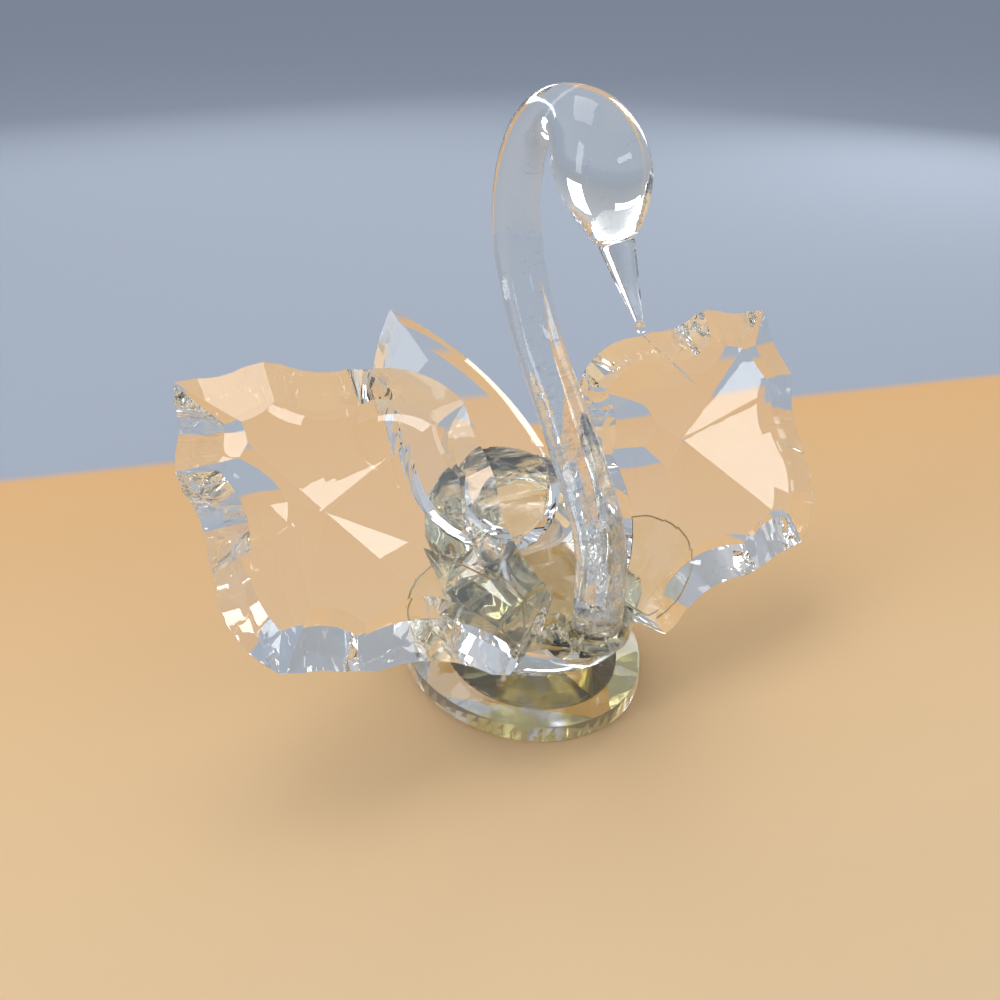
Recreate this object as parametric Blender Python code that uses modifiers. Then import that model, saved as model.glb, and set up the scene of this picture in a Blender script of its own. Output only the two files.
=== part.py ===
"""Cut-glass swan: an oval foot, a boat-shaped body block, two leaf prisms for wings,
an almond prism for a tail and a lampworked neck with its head and beak, all glued together."""

import math

import bmesh
import bpy
from mathutils import Matrix, Vector

# Fits between the glued pieces
SEAT_GAP = 0.0003
GLUE_THICKNESS = 0.0006

# Oval foot, and how far its glue stays inside its edge
FOOT_HALF_WIDTH = 0.0311
FOOT_HALF_LENGTH = 0.0371
FOOT_THICKNESS = 0.005
FOOT_BEVEL = 0.0022
FOOT_GLUE_SIDE_MARGIN = 0.0086
FOOT_GLUE_FRONT_MARGIN = 0.0061
FOOT_GLUE_BACK_MARGIN = 0.0161

# Body block, standing on the foot's glue. Each level gives the height and the reach to the
# front, to the back and to the sides as fractions of the four sizes.
BODY_BASE = FOOT_THICKNESS + 2 * SEAT_GAP + GLUE_THICKNESS
BODY_HEIGHT = 0.0436
BODY_FRONT = 0.0400
BODY_BACK = 0.0300
BODY_HALF_WIDTH = 0.0270
BODY_PROW_PINCH = 0.30
BODY_SIDES = 32
BODY_LEVELS = (
    (0.00, 0.50, 0.60, 0.62),
    (0.10, 0.60, 0.72, 0.72),
    (0.24, 0.79, 0.85, 0.86),
    (0.38, 0.92, 0.94, 0.96),
    (0.48, 0.99, 0.98, 1.00),
    (0.54, 0.97, 0.99, 1.00),
    (0.58, 0.84, 1.00, 0.98),
    (0.62, 0.52, 1.00, 0.96),
    (0.68, 0.10, 1.00, 0.93),
    (0.80, -0.15, 0.99, 0.84),
    (0.92, -0.30, 0.94, 0.62),
    (1.00, -0.45, 0.86, 0.36),
)

# Leaf prisms of the wings, in the leaf's own plane. The cusps of the rim are given by their
# distance back from the tip and their half width.
LEAF_LENGTH = 0.100
LEAF_CUSPS = ((0.0120, 0.0162), (0.0316, 0.0301), (0.0548, 0.0395), (0.0693, 0.0295))
LEAF_STEM_HALF_WIDTH = 0.0111
LEAF_LOBE = 2
LEAF_LOBE_BULGE = 0.0034
LEAF_STAR_HEIGHT = 0.0088
LEAF_FACE_HEIGHT = 0.0034
LEAF_BACK = 0.0038
LEAF_GIRDLE = 0.0007
FLUTE_WIDTH = 0.0093
FLUTE_SCALLOP = 0.13
FLUTE_STEPS = 10
LOBE_BAND = 0.0150
LOBE_GIRDLE = 0.0002
LOBE_OVERRUN = 0.0006
LOBE_STEPS = 10

# Wing placement on the body block: the stem end's distance in from the block's widest side,
# back from its front and down from its top, then the leaf's turn from straight back,
# its lift and its roll. The star of each leaf is cut a little off its middle.
RIGHT_WING_INSET = 0.0125
RIGHT_WING_SETBACK = 0.0136
RIGHT_WING_DROP = 0.0201
RIGHT_WING_TURN = 48.4
RIGHT_WING_LIFT = 36.9
RIGHT_WING_ROLL = 35.8
RIGHT_WING_STAR_FROM_TIP = 0.0426
RIGHT_WING_STAR_OFFSIDE = 0.0069
LEFT_WING_INSET = 0.0125
LEFT_WING_SETBACK = 0.0111
LEFT_WING_DROP = 0.0235
LEFT_WING_TURN = 62.8
LEFT_WING_LIFT = 32.3
LEFT_WING_ROLL = 43.0
LEFT_WING_STAR_FROM_TIP = 0.0552
LEFT_WING_STAR_OFFSIDE = 0.0105

# Glue under a wing: where it begins, how far it reaches from the stem end, and how it widens
WING_GLUE_START = 0.001
WING_GLUE_REACH = 0.030
WING_GLUE_SPREAD = 0.35

# Almond prism of the tail. The middle of its round end lies off the block's middle, in from
# its back and down from its top, and the star is cut off that middle.
TAIL_LENGTH = 0.0851
TAIL_HALF_WIDTH = 0.0232
TAIL_ROUND = 0.0241
TAIL_STAR_BACK = 0.0057
TAIL_STAR_OFFSIDE = 0.0065
TAIL_STAR_HEIGHT = 0.0050
TAIL_FACE_HEIGHT = 0.0016
TAIL_BACK = 0.0026
TAIL_GIRDLE = 0.0006
TAIL_RIM_SLOPE = 27.0
TAIL_LIFT = 29.7
TAIL_TURN = 3.0
TAIL_OFFSIDE = 0.0024
TAIL_SETBACK = 0.0115
TAIL_DROP = 0.0019
TAIL_RAYS = 10
TAIL_ARC_STEPS = 15
TAIL_GLUE_MARGIN = 0.0017
TAIL_SEAT_OVERRUN = 0.002

# Neck, head and beak. The seat is in from the block's front and down from its top; each
# station of the drawn rod gives the distance back from the neck's axis at the foot, the
# height above the foot and the radius.
NECK_SEAT_SETBACK = 0.0065
NECK_SEAT_DROP = 0.0215
NECK_SIDES = 20
NECK_STEPS = 3
NECK_STATIONS = (
    (0.0000, 0.0000, 0.0034),
    (0.0000, 0.0011, 0.0051),
    (0.0000, 0.0035, 0.0061),
    (-0.0001, 0.0120, 0.0062),
    (0.0000, 0.0200, 0.0061),
    (0.0016, 0.0269, 0.0061),
    (0.0046, 0.0329, 0.0060),
    (0.0085, 0.0391, 0.0060),
    (0.0181, 0.0520, 0.0058),
    (0.0268, 0.0630, 0.0056),
    (0.0313, 0.0712, 0.0056),
    (0.0348, 0.0789, 0.0056),
    (0.0367, 0.0860, 0.0056),
    (0.0376, 0.0935, 0.0054),
    (0.0365, 0.1009, 0.0052),
    (0.0337, 0.1075, 0.0049),
    (0.0298, 0.1120, 0.0047),
    (0.0245, 0.1147, 0.0047),
    (0.0185, 0.1146, 0.0060),
    (0.0129, 0.1122, 0.0083),
    (0.0085, 0.1076, 0.0096),
    (0.0056, 0.1025, 0.0088),
    (0.0037, 0.0975, 0.0065),
    (0.0026, 0.0944, 0.0045),
)
BEAK_STATIONS = (
    (0.0024, 0.0940, 0.0037),
    (-0.0002, 0.0898, 0.0029),
    (-0.0028, 0.0857, 0.0020),
    (-0.0053, 0.0817, 0.0011),
    (-0.0062, 0.0803, 0.0008),
    (-0.0067, 0.0795, 0.0011),
    (-0.0072, 0.0787, 0.0009),
    (-0.0074, 0.0783, 0.0004),
)
NECK_GLUE_DEPTH = 0.0011
NECK_GLUE_RADIUS = 0.0071
NECK_GLUE_RISE = 0.0040
NECK_SEAT_ROOM = 0.0008

# Where the neck's foot comes
NECK_FOOT_Y = NECK_SEAT_SETBACK - BODY_FRONT
NECK_SEAT_Z = BODY_BASE + BODY_HEIGHT - NECK_SEAT_DROP
NECK_FOOT_Z = NECK_SEAT_Z + 2 * SEAT_GAP + NECK_GLUE_DEPTH


def material(name, colour, roughness, transmission=0.95, ior=1.54):
    """A Principled BSDF for one kind of glass or glue."""
    mat = bpy.data.materials.new(name)
    mat.use_nodes = True
    shader = mat.node_tree.nodes["Principled BSDF"]
    shader.inputs["Base Color"].default_value = (*colour, 1.0)
    shader.inputs["Roughness"].default_value = roughness
    shader.inputs["Metallic"].default_value = 0.0
    shader.inputs["Transmission Weight"].default_value = transmission
    shader.inputs["IOR"].default_value = ior
    return mat


def collection(name):
    """A collection linked to the scene."""
    group = bpy.data.collections.new(name)
    bpy.context.scene.collection.children.link(group)
    return group


def add_object(name, data, group, mat=None):
    """Link a mesh or curve as a named object, with its material."""
    obj = bpy.data.objects.new(name, data)
    group.objects.link(obj)
    if mat:
        data.materials.append(mat)
    return obj


def mesh_from(bm, name):
    """Close off a bmesh as a mesh of flat triangles that face outwards."""
    bmesh.ops.recalc_face_normals(bm, faces=bm.faces)
    bmesh.ops.triangulate(bm, faces=bm.faces)
    mesh = bpy.data.meshes.new(name)
    bm.to_mesh(mesh)
    bm.free()
    return mesh


def prism(outline, low, high, name):
    """A flat outline, given as (x, y) points, extruded from low to high."""
    bm = bmesh.new()
    face = bm.faces.new([bm.verts.new((x, y, low)) for x, y in outline])
    grown = bmesh.ops.extrude_face_region(bm, geom=[face])
    lifted = [v for v in grown["geom"] if isinstance(v, bmesh.types.BMVert)]
    bmesh.ops.translate(bm, verts=lifted, vec=(0.0, 0.0, high - low))
    return mesh_from(bm, name)


def grow_cap(bm, cap, lift, scale, middle, keep=False):
    """Extrude one cap of a solid, drawn in towards the middle by a scale."""
    grown = bmesh.ops.extrude_face_region(bm, geom=[cap])
    if not keep:
        bmesh.ops.delete(bm, geom=[cap], context="FACES_ONLY")
    new_cap = [f for f in grown["geom"] if isinstance(f, bmesh.types.BMFace)][0]
    bmesh.ops.translate(bm, verts=new_cap.verts, vec=(0.0, 0.0, lift))
    about = Matrix.Translation((-middle.x, -middle.y, 0.0))
    bmesh.ops.scale(bm, verts=new_cap.verts, vec=(scale, scale, 1.0), space=about)
    return new_cap


def tapered_prism(outline, middle, girdle, slope, name):
    """An outline whose rim falls away on both faces, drawn in towards the middle."""
    overshoot = 1.6
    rise = overshoot * TAIL_STAR_HEIGHT
    near = [(p - middle).length for p in outline if abs(p.x - middle.x) < TAIL_HALF_WIDTH / 2]
    shrink = 1 - rise / math.tan(slope) / (sum(near) / len(near))
    bm = bmesh.new()
    lower = bm.faces.new([bm.verts.new((p.x, p.y, -girdle)) for p in outline])
    upper = grow_cap(bm, lower, 2 * girdle, 1.0, middle, keep=True)
    grow_cap(bm, upper, rise, shrink, middle)
    grow_cap(bm, lower, -rise, shrink, middle)
    return mesh_from(bm, name)


def as_cutter(obj):
    """Keep a cutter out of the model itself."""
    obj.hide_render = True
    obj.display_type = "WIRE"
    return obj


def boolean(target, operation, tool=None, tools=None):
    """A Boolean with one cutter or with a collection of them, on flat triangles only."""
    if target.modifiers:
        target.modifiers.new("Triangulate", "TRIANGULATE")
    cut = target.modifiers.new(operation.title(), "BOOLEAN")
    cut.operation = operation
    cut.solver = "EXACT"
    if tools:
        cut.operand_type = "COLLECTION"
        cut.collection = tools
    else:
        cut.object = tool
    return cut


def shade(obj, angle=25.0):
    """Smooth the round faces and keep the cut edges sharp."""
    obj.data.shade_smooth()
    obj.data.set_sharp_from_angle(angle=math.radians(angle))


def arc(start, end, bulge, steps):
    """Points from start to before end along an arc that stands out by bulge to the right."""
    start, end = Vector(start), Vector(end)
    chord = end - start
    half = chord.length / 2
    radius = (half * half + bulge * bulge) / (2 * bulge)
    sweep = 2 * math.asin(half / radius)
    out = Vector((chord.y, -chord.x)).normalized()
    centre = (start + end) / 2 - out * (radius - bulge)
    points = []
    for i in range(steps):
        turn = sweep * (i / steps - 0.5)
        points.append(centre + out * radius * math.cos(turn) + chord.normalized() * radius * math.sin(turn))
    return points


def leaf_corners():
    """The cusps of the leaf, from the tip round its right side to the stem end and back."""
    right = [(LEAF_LENGTH - back, -v) for back, v in LEAF_CUSPS] + [(0.0, -LEAF_STEM_HALF_WIDTH)]
    left = [(u, -v) for u, v in reversed(right)]
    return [Vector(p) for p in [(LEAF_LENGTH, 0.0)] + right + left]


def leaf_edges():
    """Pairs of corners with the kind of each edge: flute, lobe or stem."""
    corners = leaf_corners()
    stem = len(LEAF_CUSPS) + 1
    kinds = {LEAF_LOBE: "lobe", stem: "stem", 2 * stem - LEAF_LOBE: "lobe"}
    for i, corner in enumerate(corners):
        yield corner, corners[(i + 1) % len(corners)], kinds.get(i, "flute")


def leaf_outline():
    """The leaf's outline before its rim is ground, with the round lobe on each side."""
    outline = []
    for start, end, kind in leaf_edges():
        if kind == "lobe":
            outline += arc(start, end, -LEAF_LOBE_BULGE, LOBE_STEPS)
        else:
            outline.append(start)
    return outline


def star_roof(outline, star, face_height, star_height, back, name):
    """A slab whose upper face rises from the outline in flat facets to a star point."""
    spread = 1.3
    star = Vector(star)
    wide = [star + (Vector(p) - star) * spread for p in outline]
    drop = (star_height - face_height) * (spread - 1)
    bm = bmesh.new()
    face = bm.faces.new([bm.verts.new((p.x, p.y, -back)) for p in wide])
    grown = bmesh.ops.extrude_face_region(bm, geom=[face])
    lifted = [v for v in grown["geom"] if isinstance(v, bmesh.types.BMVert)]
    bmesh.ops.translate(bm, verts=lifted, vec=(0.0, 0.0, back + face_height - drop))
    top = [f for f in grown["geom"] if isinstance(f, bmesh.types.BMFace)]
    centre = bmesh.ops.poke(bm, faces=top)["verts"][0]
    centre.co = (star.x, star.y, star_height)
    return mesh_from(bm, name)


def rim_frame(start, end, slope, upper, girdle):
    """Axes at the middle of a rim edge: along it, down the ground slope, and out of the glass."""
    chord = (end - start).normalized()
    along = Vector((chord.x, chord.y, 0.0))
    out = Vector((-chord.y, chord.x, 0.0))
    side = 1.0 if upper else -1.0
    down = out * math.cos(slope) - Vector((0.0, 0.0, side * math.sin(slope)))
    away = out * math.sin(slope) + Vector((0.0, 0.0, side * math.cos(slope)))
    middle = (start + end) / 2
    return Vector((middle.x, middle.y, side * girdle)), along, down, away


def rim_cutter(start, end, sagitta, overrun, slope, upper, girdle, name):
    """A bar whose underside is the wheel that grinds one edge of the rim. The wheel is dished
    by the sagitta, or crowned where that is negative, and runs past both ends of the edge."""
    origin, along, down, away = rim_frame(start, end, slope, upper, girdle)
    half = (end - start).length / 2
    reach = half + overrun
    depth = sagitta * math.sin(slope)
    clear = LEAF_LENGTH / 5
    section = []
    for i in range(FLUTE_STEPS + 1):
        across = reach * (2 * i / FLUTE_STEPS - 1)
        section.append((across, depth * ((across / half) ** 2 - 1)))
    section += [(reach, clear), (-reach, clear)]
    bm = bmesh.new()
    inner = -clear
    ring = [bm.verts.new(origin + along * a + away * h + down * inner) for a, h in section]
    face = bm.faces.new(ring)
    grown = bmesh.ops.extrude_face_region(bm, geom=[face])
    moved = [v for v in grown["geom"] if isinstance(v, bmesh.types.BMVert)]
    bmesh.ops.translate(bm, verts=moved, vec=down * 2 * clear)
    return mesh_from(bm, name)


def leaf_cutters(group):
    """The wheels that grind the flutes and the lobes, on both faces of the leaf."""
    crown = (LEAF_STAR_HEIGHT - LEAF_FACE_HEIGHT) / LEAF_CUSPS[2][1]
    flute_rise = LEAF_FACE_HEIGHT + crown * FLUTE_WIDTH - LEAF_GIRDLE
    lobe_rise = LEAF_FACE_HEIGHT + crown * LOBE_BAND - LOBE_GIRDLE
    back_slope = math.atan((LEAF_BACK - LEAF_GIRDLE) / FLUTE_WIDTH)
    flute = (math.atan(flute_rise / FLUTE_WIDTH), LEAF_GIRDLE)
    lobe = (math.atan(lobe_rise / LOBE_BAND), LOBE_GIRDLE)
    count = 0
    for start, end, kind in leaf_edges():
        if kind == "stem":
            continue
        chord = (end - start).length
        sagitta = -LEAF_LOBE_BULGE if kind == "lobe" else FLUTE_SCALLOP * chord
        overrun = LOBE_OVERRUN if kind == "lobe" else FLUTE_SCALLOP * chord
        front = lobe if kind == "lobe" else flute
        for upper, (slope, girdle) in ((True, front), (False, (back_slope, LEAF_GIRDLE))):
            mesh = rim_cutter(start, end, sagitta, overrun, slope, upper, girdle, "wheel")
            as_cutter(add_object("wheel_%02d" % count, mesh, group))
            count += 1


def leaf_mesh(star_from_tip, star_offside, wheels, cutters):
    """One finished leaf prism in its own frame: stem at the origin, tip on +X, front on +Z."""
    thick = 2 * LEAF_STAR_HEIGHT
    blank = add_object("leaf_blank", prism(leaf_outline(), -thick, thick, "leaf_outline"), cutters)
    star = (LEAF_LENGTH - star_from_tip, star_offside)
    roof_mesh = star_roof(leaf_corners(), star, LEAF_FACE_HEIGHT, LEAF_STAR_HEIGHT, LEAF_BACK, "leaf_roof")
    roof = as_cutter(add_object("leaf_roof", roof_mesh, cutters))
    boolean(blank, "INTERSECT", tool=roof)
    boolean(blank, "DIFFERENCE", tools=wheels)
    as_cutter(blank)
    graph = bpy.context.evaluated_depsgraph_get()
    mesh = bpy.data.meshes.new_from_object(blank.evaluated_get(graph))
    bm = bmesh.new()
    bm.from_mesh(mesh)
    bmesh.ops.triangulate(bm, faces=bm.faces)
    bm.to_mesh(mesh)
    bm.free()
    mesh.materials.clear()
    mesh.name = "leaf_prism"
    return mesh


def leaf_pose(seat, turn, lift, roll, side):
    """World matrix of a wing's leaf; side is -1 for the swan's right and +1 for its left."""
    inset, setback, drop = seat
    stem = (side * (BODY_HALF_WIDTH - inset), setback - BODY_FRONT, BODY_BASE + BODY_HEIGHT - drop)
    turn, lift, roll = (math.radians(a) for a in (turn, lift, roll))
    tip = Vector((side * math.sin(turn) * math.cos(lift), math.cos(turn) * math.cos(lift), math.sin(lift)))
    level = Vector((-side * math.cos(turn), math.sin(turn), 0.0))
    rise = tip.cross(level) * side
    inner = level * math.cos(roll) + rise * math.sin(roll)
    front = tip.cross(inner) * side
    rows = Matrix((tip, front.cross(tip), front)).transposed()
    return Matrix.Translation(stem) @ rows.to_4x4()


def tail_outline():
    """Almond outline, round end at the origin, point on +X."""
    round_half = []
    for i in range(TAIL_ARC_STEPS + 1):
        turn = math.pi * (0.5 + i / TAIL_ARC_STEPS)
        round_half.append((TAIL_ROUND * (1 + math.cos(turn)), TAIL_HALF_WIDTH * math.sin(turn)))
    reach = TAIL_LENGTH - TAIL_ROUND
    radius = (reach * reach + TAIL_HALF_WIDTH ** 2) / (2 * TAIL_HALF_WIDTH)
    sweep = math.asin(reach / radius)
    side = []
    for i in range(1, TAIL_ARC_STEPS):
        turn = sweep * i / TAIL_ARC_STEPS
        side.append((TAIL_ROUND + radius * math.sin(turn), TAIL_HALF_WIDTH - radius * (1 - math.cos(turn))))
    lower = [(x, -y) for x, y in side]
    upper = list(reversed(side))
    return [Vector(p) for p in lower + [(TAIL_LENGTH, 0.0)] + upper + round_half]


def tail_star():
    """The star point in the tail's own plane."""
    return Vector((TAIL_ROUND - TAIL_STAR_BACK, -TAIL_STAR_OFFSIDE))


def tail_rays(outline):
    """Outline points that carry the rays of the tail's star, the first of them at the tip."""
    star = tail_star()
    tip = max(outline, key=lambda p: p.x)
    picked = [tip]
    for k in range(1, TAIL_RAYS):
        turn = 2 * math.pi * k / TAIL_RAYS
        heading = Vector((math.cos(turn), math.sin(turn)))
        picked.append(max(outline, key=lambda p: (p - star).normalized().dot(heading)))
    return picked


def tail_pose():
    """World matrix of the tail, set by where the middle of its round end comes."""
    lift, turn = math.radians(TAIL_LIFT), math.radians(TAIL_TURN)
    tip = Vector((math.sin(turn) * math.cos(lift), math.cos(turn) * math.cos(lift), math.sin(lift)))
    front = Vector((-math.cos(turn), math.sin(turn), 0.0)).cross(tip)
    front = front if front.z > 0 else -front
    rows = Matrix((tip, front.cross(tip), front)).transposed()
    middle = Vector((-TAIL_OFFSIDE, BODY_BACK - TAIL_SETBACK, BODY_BASE + BODY_HEIGHT - TAIL_DROP))
    return Matrix.Translation(middle - tip * TAIL_ROUND) @ rows.to_4x4()


def body_blank(name):
    """The body block before its seats are ground: oval rings lofted from the foot up."""
    bm = bmesh.new()
    rings = []
    for height, front, back, width in BODY_LEVELS:
        y_front = -BODY_FRONT * front
        y_back = BODY_BACK * back
        middle = (y_front + y_back) / 2
        reach = (y_back - y_front) / 2
        ring = []
        for i in range(BODY_SIDES):
            turn = 2 * math.pi * i / BODY_SIDES
            pinch = 1 - BODY_PROW_PINCH * max(0.0, -math.sin(turn)) ** 1.5
            x = BODY_HALF_WIDTH * width * math.cos(turn) * pinch
            y = middle + reach * math.sin(turn)
            ring.append(bm.verts.new((x, y, BODY_BASE + BODY_HEIGHT * height)))
        rings.append(ring)
    loops = [[bm.edges.new((r[i], r[(i + 1) % len(r)])) for i in range(len(r))] for r in rings]
    for low, high in zip(loops, loops[1:]):
        bmesh.ops.bridge_loops(bm, edges=low + high)
    bmesh.ops.contextual_create(bm, geom=loops[0])
    bmesh.ops.contextual_create(bm, geom=loops[-1])
    return mesh_from(bm, name)


def box_in(matrix, low, high, name, group):
    """A box cutter with its corners given in another piece's frame."""
    bm = bmesh.new()
    bmesh.ops.create_cube(bm, size=1.0)
    low, high = Vector(low), Vector(high)
    for v in bm.verts:
        v.co = Vector([low[k] + (v.co[k] + 0.5) * (high[k] - low[k]) for k in range(3)])
    obj = add_object(name, mesh_from(bm, name), group)
    obj.matrix_world = matrix
    return as_cutter(obj)


def grind_seat(body, cutters, pose, back, start):
    """Grind the flat on the body block that a leaf is glued to."""
    depth = -back - 2 * SEAT_GAP - GLUE_THICKNESS
    wide = LEAF_LENGTH
    seat = box_in(pose, (start, -wide, depth), (wide, wide, wide), "leaf_seat", cutters)
    boolean(body, "DIFFERENCE", tool=seat)


def glue_film(name, cutters, pose, back, outline, group, mat):
    """The film between a leaf and its seat: the body block's own section, within an outline."""
    film = add_object(name, body_blank(name), group, mat)
    top = -back - SEAT_GAP
    layer = add_object(name + "_layer", prism(outline, top - GLUE_THICKNESS, top, name + "_layer"), cutters)
    layer.matrix_world = pose
    boolean(film, "INTERSECT", tool=as_cutter(layer))
    return film


def wing_glue_outline():
    """The part of a wing's back that the glue wets, from the stem end outwards."""
    near = LEAF_STEM_HALF_WIDTH - WING_GLUE_START
    far = near + WING_GLUE_REACH * WING_GLUE_SPREAD
    return [(WING_GLUE_START, -near), (WING_GLUE_REACH, -far), (WING_GLUE_REACH, far),
            (WING_GLUE_START, near)]


def tail_glue_outline():
    """The tail's outline, drawn in by the margin that the glue keeps."""
    middle = Vector((TAIL_ROUND, 0.0))
    shrink = 1 - TAIL_GLUE_MARGIN / TAIL_HALF_WIDTH
    return [middle + (p - middle) * shrink for p in tail_outline()]


def disc(name, radius, low, high, centre, group, sides=64):
    """A round cutter or pad on a vertical axis."""
    bm = bmesh.new()
    bmesh.ops.create_cone(bm, cap_ends=True, segments=sides, radius1=radius, radius2=radius,
                          depth=high - low)
    bmesh.ops.translate(bm, verts=bm.verts, vec=(centre[0], centre[1], (low + high) / 2))
    return add_object(name, mesh_from(bm, name), group)


def oval(name, half_width, half_length, low, high, middle, group, mat):
    """An upright oval plate made from a round one."""
    obj = disc(name, 1.0, low, high, (0.0, 0.0), group)
    obj.data.transform(Matrix.Diagonal((half_width, half_length, 1.0, 1.0)))
    obj.data.transform(Matrix.Translation((0.0, middle, 0.0)))
    obj.data.materials.append(mat)
    return obj


def drawn_stations(stations, steps):
    """Catmull-Rom points through the stations of a drawn rod."""
    points = [Vector(s) for s in stations]
    ends = [2 * points[0] - points[1]] + points + [2 * points[-1] - points[-2]]
    drawn = []
    for i in range(1, len(ends) - 2):
        a, b, c, d = ends[i - 1:i + 3]
        for k in range(steps):
            t = k / steps
            drawn.append(0.5 * (2 * b + (c - a) * t + (2 * a - 5 * b + 4 * c - d) * t * t
                                + (3 * b - a - 3 * c + d) * t ** 3))
    return drawn + [points[-1]]


def neck(group, mat):
    """Neck, head and beak, drawn as one rod of changing thickness."""
    route = drawn_stations(NECK_STATIONS, NECK_STEPS) + drawn_stations(BEAK_STATIONS, NECK_STEPS)
    curve = bpy.data.curves.new("neck_and_head", "CURVE")
    curve.dimensions = "3D"
    curve.twist_mode = "MINIMUM"
    curve.bevel_depth = 1.0
    curve.bevel_resolution = NECK_SIDES // 2 - 2
    curve.use_fill_caps = True
    spline = curve.splines.new("POLY")
    spline.points.add(len(route) - 1)
    for point, (y, z, radius) in zip(spline.points, route):
        point.co = (0.0, NECK_FOOT_Y + y, NECK_FOOT_Z + z, 1.0)
        point.radius = radius
    spline.use_smooth = True
    return add_object("neck_and_head", curve, group, mat)


def neck_glue(group, mat):
    """The cup of glue that holds the foot of the neck, turned about the neck's axis."""
    bottom = NECK_SEAT_Z + SEAT_GAP
    foot = NECK_FOOT_Z - SEAT_GAP
    shoulder = NECK_FOOT_Z + NECK_STATIONS[1][1]
    rod = NECK_STATIONS[3][2] + SEAT_GAP
    top = bottom + NECK_GLUE_RISE
    lip = SEAT_GAP
    profile = [(0.0, bottom), (NECK_GLUE_RADIUS - GLUE_THICKNESS, bottom),
               (NECK_GLUE_RADIUS, bottom + GLUE_THICKNESS), (NECK_GLUE_RADIUS, bottom + NECK_GLUE_RISE / 2),
               (rod + lip, top), (rod, top - lip), (NECK_STATIONS[1][2] + 2 * SEAT_GAP, shoulder),
               (NECK_STATIONS[0][2] + SEAT_GAP, foot), (0.0, foot)]
    bm = bmesh.new()
    verts = [bm.verts.new((r, 0.0, z)) for r, z in profile]
    edges = [bm.edges.new(pair) for pair in zip(verts, verts[1:])]
    bmesh.ops.spin(bm, geom=verts + edges, cent=(0, 0, 0), axis=(0, 0, 1), dvec=(0, 0, 0),
                   angle=2 * math.pi, steps=48, use_merge=True)
    bmesh.ops.remove_doubles(bm, verts=bm.verts, dist=SEAT_GAP / 10)
    bmesh.ops.translate(bm, verts=bm.verts, vec=(0.0, NECK_FOOT_Y, 0.0))
    return add_object("neck_adhesive", mesh_from(bm, "neck_adhesive"), group, mat)


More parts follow.
